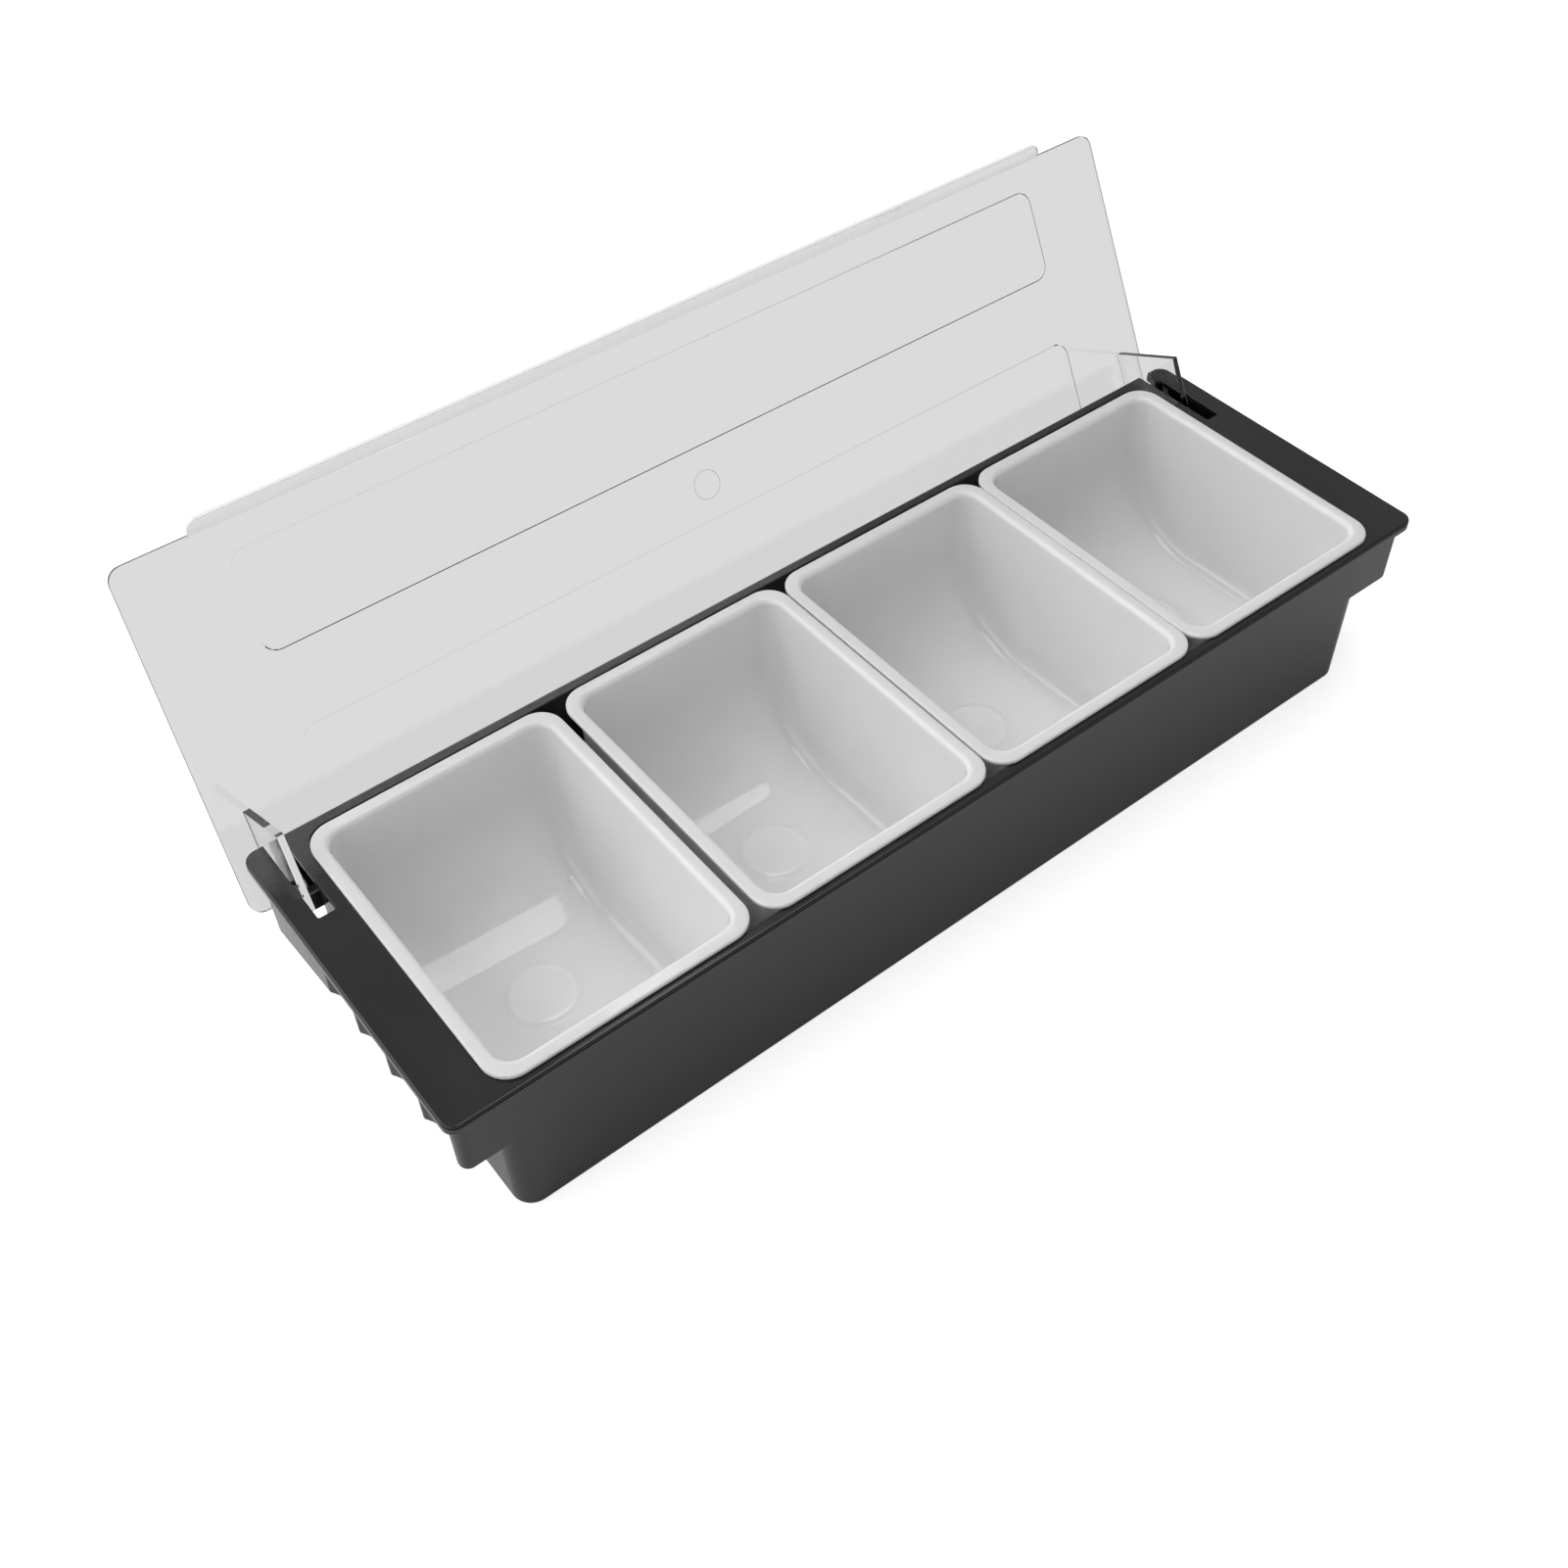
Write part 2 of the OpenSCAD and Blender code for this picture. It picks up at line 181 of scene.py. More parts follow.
class InsertSizes(bpy.types.PropertyGroup):
    wall_t: length("Wall", 0.0025, "Wall of an insert")
    rim_b: length("Rim width", 0.006, "Width of the flat rim")
    rim_t: length("Rim thickness", 0.002, "Thickness of the rim")
    rim_r: length("Rim corner", 0.011, "Corner radius of the rim")
    rim_arris: length("Rim arris", 0.0007, "Rounding of the rim's outer edge")
    well_arris: length("Well arris", 0.0022, "Rounding of the rim's inner edge")
    draft: angle("Draft", 3.0, "Draft of the walls")
    scoop_r: length("Scoop", 0.042, "Radius of the scoop from the front and rear walls into the floor")
    fillet_r: length("Fillet", 0.0078, "Radius of the corners and of the fillet along the side walls")
    disc_r: length("Disc radius", 0.0158, "Radius of the raised disc on the floor")
    disc_slope: length("Disc slope", 0.0035, "Width of the disc's sloped edge")
    disc_h: length("Disc height", 0.0012, "Height of the disc")


class Finishes(bpy.types.PropertyGroup):
    charcoal: colour("Charcoal", (0.014, 0.014, 0.0143), "Colour of the tray")
    charcoal_rough: share("Charcoal roughness", 0.11, "Roughness of the tray")
    # how much lighter the patches on the level tops are drawn: a painted sheen
    top_sheen: number("Top_sheen", 1.5, "How much lighter the scuffs on the ledges are")
    white: colour("White", (0.85, 0.85, 0.85), "Colour of the inserts")
    white_rough: share("White roughness", 0.05, "Roughness of the inserts")
    milk_depth: length("Milk depth", 0.003, "How far light spreads inside the inserts' plastic")
    clear: colour("Clear", (0.96, 0.96, 0.96), "Tint of the lid")
    clear_rough: share("Clear roughness", 0.03, "Roughness of the lid")


class StageSizes(bpy.types.PropertyGroup):
    camera_at: bpy.props.FloatVectorProperty(
        name="Camera",
        description="Where the camera stands",
        default=(-0.37853, -0.43499, 0.64996),
        subtype="XYZ",
    )
    lens: number("Lens", 45.362, "Focal length in millimetres")
    shift: bpy.props.FloatVectorProperty(
        name="Shift", description="Shift of the lens", default=(0.01554, -0.15178), size=2
    )
    floor_l: length("Floor", 14.0, "Length and width of the floor")
    floor_lift: number("Floor lift", 0.72, "White added to the floor where the camera sees it")
    floor_gloss: number("Floor gloss", 0.09, "White added to the floor in reflections")
    floor_through: number("Floor through", 0.74, "Brightness of the floor seen through the lid")
    room_front: number("Room front", 0.12, "Brightness of the room in front")
    room_rear: number("Room rear", 0.50, "Brightness of the room behind")
    room_through: number("Room through", 0.74, "Brightness of the room seen through the lid")
    horizon: number("Horizon", 0.65, "Brightness of the room's horizon")


# name, place, size and brightness of each soft lamp
LAMPS = (
    ("overhead", (0.14, 0.15, 1.5), (0.66, 1.3), 2.6),
    ("left", (-1.45, 0.20, 1.15), (2.4, 1.6), 1.25),
    ("rear", (-0.85, 1.40, 1.25), (2.1, 1.1), 0.85),
)


# ---------------------------------------------------------------- modelling by operators


def deselect():
    """Leaves edit mode and deselects every object."""
    if bpy.context.object and bpy.context.object.mode != "OBJECT":
        bpy.ops.object.mode_set(mode="OBJECT")
    bpy.ops.object.select_all(action="DESELECT")


def take(*objs):
    """Selects these objects alone, the first of them active."""
    deselect()
    for obj in objs:
        obj.select_set(True)
    bpy.context.view_layer.objects.active = objs[0]


def edit(obj):
    take(obj)
    bpy.ops.object.mode_set(mode="EDIT")
    return bmesh.from_edit_mesh(obj.data)


def select_verts(obj, test):
    """In edit mode, selects the vertices whose place passes a test, and what lies between them."""
    mesh = bmesh.from_edit_mesh(obj.data)
    bpy.ops.mesh.select_all(action="DESELECT")
    for v in mesh.verts:
        v.select = bool(test(v.co))
    mesh.select_flush(True)
    bmesh.update_edit_mesh(obj.data)


def select_faces(obj, test):
    """In edit mode, selects the faces whose centre and normal pass a test."""
    mesh = bmesh.from_edit_mesh(obj.data)
    bpy.ops.mesh.select_mode(type="FACE")
    bpy.ops.mesh.select_all(action="DESELECT")
    for f in mesh.faces:
        f.select = bool(test(f.calc_center_median(), f.normal))
    mesh.select_flush_mode()
    bmesh.update_edit_mesh(obj.data)


def select_edges(obj, test):
    """In edit mode, selects the edges whose two ends pass a test."""
    mesh = bmesh.from_edit_mesh(obj.data)
    bpy.ops.mesh.select_mode(type="EDGE")
    bpy.ops.mesh.select_all(action="DESELECT")
    for e in mesh.edges:
        e.select = bool(test(e.verts[0].co, e.verts[1].co))
    bmesh.update_edit_mesh(obj.data)


def set_down(obj):
    """Puts the object's place, turn and scale into its mesh."""
    take(obj)
    bpy.ops.object.transform_apply(location=True, rotation=True, scale=True)
    return obj


def turn_and_move(obj, degrees_x, place):
    """Turns an object about the X axis through the origin, moves it, and puts both into its mesh."""
    obj.rotation_euler = (math.radians(degrees_x), 0, 0)
    obj.location = place
    return set_down(obj)


def block(name, low, high):
    """A plain box between two corners, as a start or a cutter."""
    deselect()
    middle = [(a + b) / 2 for a, b in zip(low, high)]
    bpy.ops.mesh.primitive_cube_add(size=1, location=middle, scale=[b - a for a, b in zip(low, high)])
    obj = bpy.context.object
    obj.name = name
    return set_down(obj)


def cylinder(name, radius, depth, place, turn=(0, 0, 0), sides=64):
    deselect()
    bpy.ops.mesh.primitive_cylinder_add(
        vertices=sides, radius=radius, depth=depth, location=place, rotation=turn
    )
    obj = bpy.context.object
    obj.name = name
    return set_down(obj)


def drawn_solid(name, rings, place=(0, 0), steps=8):
    """A closed solid drawn through rings from its base: each is a rounded rectangle's half length,
    half width and corner radius, at a height. Each ring is extruded from the one before, and its
    four corners are then scaled about their own centres and moved."""
    hx, hy, r, z = rings[0]
    deselect()
    bpy.ops.mesh.primitive_plane_add(size=2, location=(0, 0, z), scale=(1, 1, 1))
    obj = bpy.context.object
    obj.name = name
    obj.scale = (hx, hy, 1)
    set_down(obj)
    edit(obj)
    bpy.ops.mesh.select_all(action="SELECT")
    bpy.ops.mesh.bevel(offset=r, segments=steps, affect="VERTICES", clamp_overlap=False)
    bpy.ops.mesh.select_all(action="SELECT")
    for new in rings[1:]:
        bpy.ops.mesh.extrude_region_move()
        reshape_ring(obj, (hx, hy, r, z), new)
        hx, hy, r, z = new
    bpy.ops.mesh.select_all(action="SELECT")
    bpy.ops.mesh.normals_make_consistent(inside=False)
    bpy.ops.object.mode_set(mode="OBJECT")
    obj.location = (place[0], place[1], 0)
    return set_down(obj)


def reshape_ring(obj, old, new):
    """Gives the selected ring its new size, corner radius and height."""
    hx, hy, r, z = old
    nx, ny, nr, nz = new
    mesh = bmesh.from_edit_mesh(obj.data)
    ring = [v.index for v in mesh.verts if v.select]
    for sx in (-1, 1):
        for sy in (-1, 1):
            mesh = bmesh.from_edit_mesh(obj.data)
            mesh.verts.ensure_lookup_table()
            bpy.ops.mesh.select_all(action="DESELECT")
            for i in ring:
                co = mesh.verts[i].co
                mesh.verts[i].select = co.x * sx > 0 and co.y * sy > 0
            mesh.select_flush(True)
            bmesh.update_edit_mesh(obj.data)
            centre = (sx * (hx - r), sy * (hy - r), z)
            bpy.ops.transform.resize(value=(nr / r, nr / r, 1), center_override=centre)
            bpy.ops.transform.translate(
                value=(sx * (nx - nr - hx + r), sy * (ny - nr - hy + r), nz - z)
            )
    mesh = bmesh.from_edit_mesh(obj.data)
    mesh.verts.ensure_lookup_table()
    bpy.ops.mesh.select_all(action="DESELECT")
    for i in ring:
        mesh.verts[i].select = True
    mesh.select_flush(True)
    bmesh.update_edit_mesh(obj.data)


def combine(target, tool, operation):
    """Applies one boolean to target, and removes the tool."""
    take(target)
    step = target.modifiers.new("combine", "BOOLEAN")
    step.operation = operation
    step.solver = "EXACT"
    step.object = tool
    bpy.ops.object.modifier_apply(modifier=step.name)
    remove(tool)
    return target


def cut(target, tool):
    return combine(target, tool, "DIFFERENCE")


def add(target, tool):
    return combine(target, tool, "UNION")


def remove(obj):
    mesh = obj.data
    bpy.data.objects.remove(obj)
    bpy.data.meshes.remove(mesh)


def copy_of(obj, name):
    twin = obj.copy()
    twin.data = obj.data.copy()
    twin.name = name
    bpy.context.scene.collection.objects.link(twin)
    return twin


def mirrored(obj, name):
    """A copy mirrored across the tray's middle, with its faces turned back outwards."""
    twin = copy_of(obj, name)
    edit(twin)
    bpy.ops.mesh.select_all(action="SELECT")
    bpy.ops.transform.resize(value=(-1, 1, 1), center_override=(0, 0, 0))
    bpy.ops.mesh.flip_normals()
    bpy.ops.object.mode_set(mode="OBJECT")
    return twin


def round_edges(obj, test, radius, segments=3):
    """Bevels the sharp edges whose two ends pass a test."""
    edit(obj)
    mesh = bmesh.from_edit_mesh(obj.data)
    bpy.ops.mesh.select_mode(type="EDGE")
    bpy.ops.mesh.select_all(action="DESELECT")
    for e in mesh.edges:
        sharp = len(e.link_faces) == 2 and e.calc_face_angle(0) > SHARP_ABOVE
        e.select = sharp and all(test(v.co) for v in e.verts)
    bmesh.update_edit_mesh(obj.data)
    bpy.ops.mesh.bevel(offset=radius, segments=segments, affect="EDGES", clamp_overlap=True)
    bpy.ops.mesh.select_mode(type="VERT")
    bpy.ops.object.mode_set(mode="OBJECT")


def finish_piece(obj, material, body, slot, *nodes):
    """Cleans and shades a finished mesh, paints it, gives it its body and hides its CAD nodes; slot is
    not used.
    """
    edit(obj)
    bpy.ops.mesh.select_all(action="SELECT")
    bpy.ops.mesh.remove_doubles(threshold=MERGE)
    bpy.ops.mesh.dissolve_degenerate(threshold=MERGE)
    bpy.ops.object.mode_set(mode="OBJECT")
    take(obj)
    bpy.ops.object.shade_smooth_by_angle(angle=SMOOTH_BELOW)
    even = obj.modifiers.new("even shading", "WEIGHTED_NORMAL")
    even.keep_sharp = True
    bpy.ops.object.modifier_apply(modifier=even.name)
    obj.data.materials.clear()
    obj.data.materials.append(material)
    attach(obj, body)
    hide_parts(*nodes)
    return obj


def lean(height, slope):
    """How far a drafted wall comes in over a height."""
    return height * math.tan(slope)


def arc(steps, start, end):
    """Equal turns from start to end, both included."""
    return [start + (end - start) * i / steps for i in range(steps + 1)]


def wall_rings(hx, hy, r, height, slope, foot_r, base=0.0):
    """Rings of a drafted wall from its base up, over a rounded foot; hx, hy and r are at the top."""
    least_r = 0.001
    foot = lean(height - foot_r * (1 - math.sin(slope)), slope) + foot_r * math.cos(slope)
    rings = []
    for turn in arc(6, -math.pi / 2, -slope):
        inset, z = foot - foot_r * math.cos(turn), foot_r + foot_r * math.sin(turn)
        rings.append((hx - inset, hy - inset, max(r - inset, least_r), base + z))
    rings.append((hx, hy, r, base + height))
    return rings


# ---------------------------------------------------------------- the tray


def tray_body(s, grow=0.0):
    """The body's outside, solid, up into the flange."""
    top = s.tray_h - OVER
    hx = s.flange_l / 2 - s.ledge_l - lean(OVER, s.draft) + grow
    hy = s.flange_w / 2 - s.side_lip - lean(OVER, s.draft) + grow
    return drawn_solid("body", wall_rings(hx, hy, s.body_r, top, s.draft, s.base_r), steps=10)


def box_rings(s, grow, low, high):
    """Rings of the end boxes' drafted sides between two heights, grown by an offset."""
    hx, hy = s.flange_l / 2 - s.end_lip, s.flange_w / 2 - s.side_lip - HAIR
    rings = []
    for z in (low, high):
        inset = lean(s.tray_h - z, s.draft) - grow
        rings.append((hx - inset, hy - inset, s.box_r - inset, z))
    return rings


def flute_cutters(s, grow):
    """The finger flutes of both ends, leaning with the drafted wall."""
    half = (s.flute_pitch - s.flute_land) / 2
    radius = (half * half + s.flute_depth**2) / (2 * s.flute_depth)
    depth = s.box_h + s.box_drop
    spare = 0.006  # how far a cutter stands past each end of the flute
    cutters = []
    for i in range(s.flute_n):
        y = s.box_shoulder - (i + 0.5) * s.flute_pitch
        out = s.flange_l / 2 - s.end_lip + (radius - s.flute_depth) / math.cos(s.draft)
        in_by = lean(depth / 2, s.draft)
        right = cylinder(
            f"flute_{i}",
            radius + grow,
            depth + 2 * spare,
            (out - in_by, y, s.tray_h - depth / 2),
            (0, s.draft, 0),
            sides=160,
        )
        cutters += [right, mirrored(right, f"flute_{i}_left")]
    return cutters


def box_underside(s):
    """What is cut away under the end boxes: level, then falling towards the hinge."""
    level = s.tray_h - s.box_h
    rear = s.flange_w / 2 - s.side_lip
    under = block("under", (-s.flange_l, -s.flange_w, OVER), (s.flange_l, s.flange_w, level))
    edit(under)
    bpy.ops.mesh.select_all(action="SELECT")
    bpy.ops.mesh.bisect(plane_co=(0, s.box_shoulder, 0), plane_no=(0, 1, 0))
    select_verts(under, lambda co: co.y > s.box_shoulder + OVER and co.z > level - OVER)
    drop = s.box_drop * (s.flange_w - s.box_shoulder) / (rear - s.box_shoulder)
    bpy.ops.transform.translate(value=(0, 0, -drop))
    bpy.ops.object.mode_set(mode="OBJECT")
    return under


def end_boxes(s):
    """Both end boxes as one solid across the tray, fluted, with their lower edges rounded."""
    deep = s.tray_h - s.box_h - s.box_drop - 4 * OVER
    boxes = drawn_solid("boxes", box_rings(s, 0.0, deep, s.tray_h - OVER), steps=6)
    for flute in flute_cutters(s, 0.0):
        cut(boxes, flute)
    cut(boxes, box_underside(s))
    level = s.tray_h - s.box_h + OVER / 2
    slope = s.box_drop / (s.flange_w / 2 - s.side_lip - s.box_shoulder)
    round_edges(
        boxes,
        lambda co: co.z < level - slope * max(co.y - s.box_shoulder, 0),
        s.box_arris,
        segments=2,
    )
    return boxes


def box_hollows(s):
    """The hollows of both end boxes, open underneath."""
    deep = s.tray_h - s.box_h - s.box_drop - 6 * OVER
    hollows = drawn_solid("hollows", box_rings(s, -s.wall_t, deep, s.tray_h - s.ledge_t), steps=6)
    cut(hollows, tray_body(s, grow=HAIR))
    for flute in flute_cutters(s, s.wall_t):
        cut(hollows, flute)
    return hollows


def flange_plate(s):
    """The flange, solid, with rounded edges and the fine groove under the upper one."""
    hx, hy, low, a = s.flange_l / 2, s.flange_w / 2, s.tray_h - s.flange_edge, s.arris
    line_top = s.tray_h - a - HAIR
    line_low = line_top - s.line_h
    full = (hx, hy, s.flange_r)
    sunk = [size - s.line_d for size in full]
    rings = []
    for turn in arc(3, 0, math.pi / 2):
        inset = a * (1 - math.sin(turn))
        rings.append((hx - inset, hy - inset, s.flange_r - inset, low + a * (1 - math.cos(turn))))
    rings += [(*full, line_low), (*sunk, line_low), (*sunk, line_top), (*full, line_top)]
    for turn in arc(4, 0, math.pi / 2):
        inset = a * (1 - math.cos(turn))
        rings.append((hx - inset, hy - inset, s.flange_r - inset, s.tray_h - a + a * math.sin(turn)))
    return drawn_solid("flange", rings)


def flared(rings, at, radius):
    """Adds a rounded flare to a cutter's rings, so that the mouth it cuts gets a rounded arris."""
    hx, hy, r, _ = rings[-1]
    out = rings[:-1]
    for turn in arc(4, 0, math.pi / 2):
        grow = radius * (1 - math.cos(turn))
        out.append((hx + grow, hy + grow, r + grow, at - radius + radius * math.sin(turn)))
    out.append((hx + radius, hy + radius, r + radius, at + OVER))
    return out


def tray_cavity(s):
    """The space inside the tray, with a rounded mouth."""
    hx = s.flange_l / 2 - s.ledge_l - s.wall_t
    hy = s.flange_w / 2 - s.side_lip - s.wall_t
    height = s.tray_h - s.floor_t
    rings = wall_rings(hx, hy, s.body_r - s.wall_t, height, s.draft, s.base_r, base=s.floor_t)
    return drawn_solid("cavity", flared(rings, s.tray_h, s.arris), steps=10)


def slot_cutters(s, h):
    """The two hinge slots: through the ledges, and down through the rear wall."""
    out = s.flange_l / 2 - h.slot_in
    middle, rear = out - h.slot_w / 2, s.flange_w
    hx, hy = h.slot_w / 2, (rear - h.slot_front) / 2
    rings = [(hx, hy, h.slot_r, s.tray_h - s.ledge_t - OVER), (hx, hy, h.slot_r, s.tray_h)]
    slot = drawn_solid(
        "slot", flared(rings, s.tray_h, h.slot_arris), (middle, h.slot_front + hy), steps=4
    )
    wall_y = s.flange_w / 2 - h.pivot_back + h.slot_back
    hy = (rear - wall_y) / 2
    notch = drawn_solid(
        "notch",
        [(hx, hy, h.slot_r, h.slot_foot), (hx, hy, h.slot_r, s.tray_h - 2 * OVER)],
        (middle, wall_y + hy),
        steps=4,
    )
    add(slot, notch)
    return slot, mirrored(slot, "slot_left")


def hinge_bar(name, s, h, x0, x1, radius):
    """A round bar on the hinge axis from x0 to x1."""
    place = ((x0 + x1) / 2, s.flange_w / 2 - h.pivot_back, s.tray_h - h.pivot_drop)
    return cylinder(name, radius, x1 - x0, place, (0, math.pi / 2, 0))


def build_tray(s, h, material):
    """Joins the moulding's outer forms, hollows them, and adds the bosses, sockets and rails."""
    tray = tray_body(s)
    add(tray, end_boxes(s))
    add(tray, flange_plate(s))
    cut(tray, tray_cavity(s))
    cut(tray, box_hollows(s))
    out = s.flange_l / 2 - h.slot_in
    boss_r = h.stud_r + h.stud_fit + h.boss_t
    body_wall = s.flange_l / 2 - s.ledge_l - s.wall_t / 2
    box_wall = s.flange_l / 2 - s.end_lip - s.wall_t * 0.7  # the draft brings this wall in
    inner = hinge_bar("boss_in", s, h, body_wall, out - h.slot_w, boss_r)
    outer = hinge_bar("boss_out", s, h, out, box_wall, boss_r)
    for boss in (inner, outer, mirrored(inner, "boss_in_left"), mirrored(outer, "boss_out_left")):
        add(tray, boss)
    for slot in slot_cutters(s, h):
        cut(tray, slot)
    reach = h.stud_grip + h.socket_end
    socket = hinge_bar("socket", s, h, out - h.slot_w - reach, out + reach, h.stud_r + h.stud_fit)
    for each in (socket, mirrored(socket, "socket_left")):
        cut(tray, each)
    add_rails(tray, s)
    tray.name = "tray_moulding"
    return finish_piece(tray, material, "tray", "tray_black", "tray")


def add_rails(tray, s):
    """The two rails that the inserts stand on; their ends run a little way into the end walls."""
    inside = s.flange_l / 2 - s.ledge_l - s.wall_t - lean(s.tray_h - s.rail_top, s.draft)
    half = inside + OVER / 2
    for side in (-1, 1):
        y = side * s.rail_gap / 2
        low, high = (-half, y - s.rail_t / 2, s.floor_t / 2), (half, y + s.rail_t / 2, s.rail_top)
        add(tray, block("rail", low, high))


# ---------------------------------------------------------------- the inserts


def scooped_block(name, s, hx, hy, height, grow, base=0.0):
    """A drafted block, hx by hy at its top, whose front and rear run down into its floor in one wide
    scoop, and whose side walls have filleted edges; grow is its offset from the well's surface."""
    solid = block(name, (-hx, -hy, base), (hx, hy, base + height))
    inset = lean(height, s.draft)
    edit(solid)
    select_verts(solid, lambda co: co.z < base + OVER)
    bpy.ops.transform.resize(
        value=((hx - inset) / hx, (hy - inset) / hy, 1), center_override=(0, 0, base)
    )
    half_turn = (math.pi / 2 - s.draft) / 2
    select_edges(solid, lambda a, b: max(a.z, b.z) < base + OVER and abs(a.x - b.x) > hx)
    bpy.ops.mesh.bevel(
        offset=(s.scoop_r + grow) * math.tan(half_turn),
        segments=20,
        affect="EDGES",
        clamp_overlap=False,
    )
    select_faces(solid, lambda centre, normal: abs(normal.x) > 0.9)
    bpy.ops.mesh.region_to_loop()
    mesh = bmesh.from_edit_mesh(solid.data)
    for e in mesh.edges:
        if min(v.co.z for v in e.verts) > base + height - OVER:
            e.select = False
    bmesh.update_edit_mesh(solid.data)
    bpy.ops.mesh.bevel(offset=s.fillet_r + grow, segments=8, affect="EDGES", clamp_overlap=False)
    bpy.ops.mesh.select_mode(type="VERT")
    bpy.ops.object.mode_set(mode="OBJECT")
    return solid


def rim_plate(s, hx, hy, height):
    """The flat rim, with its outer edges rounded."""
    a, under = s.rim_arris, height - s.rim_t
    edge = a / 2
    rings = [(hx - edge, hy - edge, s.rim_r - edge, under), (hx, hy, s.rim_r, under + edge)]
    for turn in arc(4, 0, math.pi / 2):
        inset = a * (1 - math.cos(turn))
        rings.append((hx - inset, hy - inset, s.rim_r - inset, height - a + a * math.sin(turn)))
    return drawn_solid("rim", rings)


def floor_disc(s):
    """The raised disc on the floor, with a soft sloped edge."""
    rings = [(s.disc_r, s.wall_t / 2), (s.disc_r, s.wall_t)]
    for turn in arc(6, 0, math.pi)[1:]:
        radius = s.disc_r - s.disc_slope * turn / math.pi
        rings.append((radius, s.wall_t + s.disc_h * (1 - math.cos(turn)) / 2))
    flat = 0.0001  # a ring's corners stay this far apart
    return drawn_solid("disc", [(r + flat, r + flat, r, z) for r, z in rings], steps=16)


def build_inserts(s, material):
    """Models one insert at the origin and sets a copy of it into each place."""
    low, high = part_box(INSERTS[0])
    hx, hy, height = (high.x - low.x) / 2, (high.y - low.y) / 2, high.z - low.z
    well_x, well_y, out = hx - s.rim_b, hy - s.rim_b, lean(s.rim_t / 2, s.draft)
    insert = scooped_block(
        "insert", s, well_x + s.wall_t - out, well_y + s.wall_t - out, height - s.rim_t / 2, s.wall_t
    )
    add(insert, rim_plate(s, hx, hy, height))
    up = lean(OVER, s.draft)
    well = scooped_block(
        "well", s, well_x + up, well_y + up, height - s.wall_t + OVER, 0.0, base=s.wall_t
    )
    cut(insert, well)
    add(insert, floor_disc(s))
    round_edges(
        insert,
        lambda co: co.z > height - OVER / 10 and abs(co.x) < well_x + OVER and abs(co.y) < well_y + OVER,
        s.well_arris,
        segments=6,
    )
    for name in INSERTS:
        low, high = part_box(name)
        piece = copy_of(insert, name + "_moulding")
        piece.location = ((low.x + high.x) / 2, (low.y + high.y) / 2, low.z)
        set_down(piece)
        finish_piece(piece, material, name, "insert_white", name)
    remove(insert)


# ---------------------------------------------------------------- the lid


def lid_plate(s, t, top, ahead, behind):
    """The flat plate with rounded edges; its top is at a height above the hinge axis."""
    hx, hy, a = t.flange_l / 2 + s.lid_over, (ahead + behind) / 2, s.lid_arris
    low = top - s.lid_t
    rings = []
    for turn in arc(3, 0, math.pi / 2):
        inset = a * (1 - math.sin(turn))
        rings.append((hx - inset, hy - inset, s.lid_r - inset, low + a * (1 - math.cos(turn))))
    for turn in arc(3, 0, math.pi / 2):
        inset = a * (1 - math.cos(turn))
        rings.append((hx - inset, hy - inset, s.lid_r - inset, top - a + a * math.sin(turn)))
    return drawn_solid("lid_moulding", rings, (0, (behind - ahead) / 2))


def lid_tab(s, top, ahead):
    """The tab that slopes down from the plate's front edge, set a hair below the plate's top."""
    edge, sunk = s.tab_arris, 2 * HAIR
    low = sunk - s.lid_t
    full = (s.tab_l / 2, s.tab_w, s.tab_r)
    less = [size - edge for size in full]
    rings = [(*less, low), (*full, low + edge), (*full, -edge), (*less, 0)]
    tab = drawn_solid("tab", rings, steps=6)
    edit(tab)
    bpy.ops.mesh.select_all(action="SELECT")
    bpy.ops.mesh.bisect(
        plane_co=(0, s.tab_root, 0), plane_no=(0, 1, 0), clear_outer=True, use_fill=True
    )
    bpy.ops.object.mode_set(mode="OBJECT")
    return turn_and_move(tab, math.degrees(s.tab_angle), (0, -ahead, top - sunk))


def lid_ear(s, t, h, top):
    """The right ear with its two studs on the hinge axis."""
    out = t.flange_l / 2 - h.slot_in
    ear_x = out - h.ear_gap
    low = (ear_x - s.ear_t, -s.ear_front, -s.ear_drop)
    ear = block("ear", low, (ear_x, s.ear_back, top - s.lid_t / 2))
    round_edges(ear, lambda co: co.z < 0, s.ear_arris, segments=2)
    reach, middle = h.slot_w + 2 * h.stud_grip, out - h.slot_w / 2
    studs = cylinder("studs", h.stud_r, reach, (middle, 0, 0), (0, math.pi / 2, 0))
    return add(ear, studs)


def sunk_panel(s, top, width, y):
    """The cutter of one sunk panel, with a sloped edge."""
    full, d = (s.panel_l / 2, width / 2, s.panel_r), s.panel_depth
    less, more = [size - d for size in full], [size + d for size in full]
    return drawn_solid("panel", [(*less, top - d), (*full, top), (*more, top + d)], (0, y))


def lid_mark(s, top):
    """The round moulding mark that stands up from the plate."""
    depth = s.lid_t / 2 + s.mark_h
    place = (-s.mark_aside, -s.mark_ahead, top + s.mark_h - depth / 2)
    mark = cylinder("mark", s.mark_r, depth, place)
    nearly_all = 0.8 * s.mark_h
    round_edges(mark, lambda co: co.z > top, nearly_all)
    return mark


